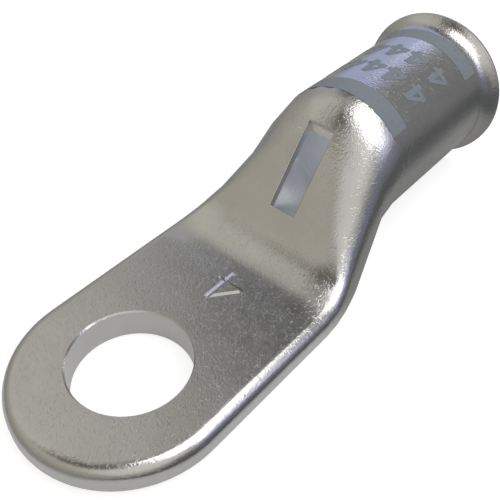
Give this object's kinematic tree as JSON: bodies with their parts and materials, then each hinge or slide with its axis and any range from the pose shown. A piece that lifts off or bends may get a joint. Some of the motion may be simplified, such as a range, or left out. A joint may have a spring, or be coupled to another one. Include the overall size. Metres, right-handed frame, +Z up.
{
  "type": "cable lug",
  "caption": "Tubular crimp cable lug: flat palm with a round end and a stud hole, a sloping neck with an inspection window, and a round barrel with a belled mouth.",
  "frame": {"origin": "centre of the stud hole on the palm's underside", "axes": "+X from the stud hole along the lug to the barrel's mouth, +Y to the left seen from the palm's tip towards the barrel, +Z up, out of the palm's upper face"},
  "size_m": [0.0374, 0.013, 0.0106],
  "materials": {
    "tin_plated_copper": "satin tin plate over copper"
  },
  "bodies": {
    "root": {"lug": "tin_plated_copper"}
  },
  "joints": []
}
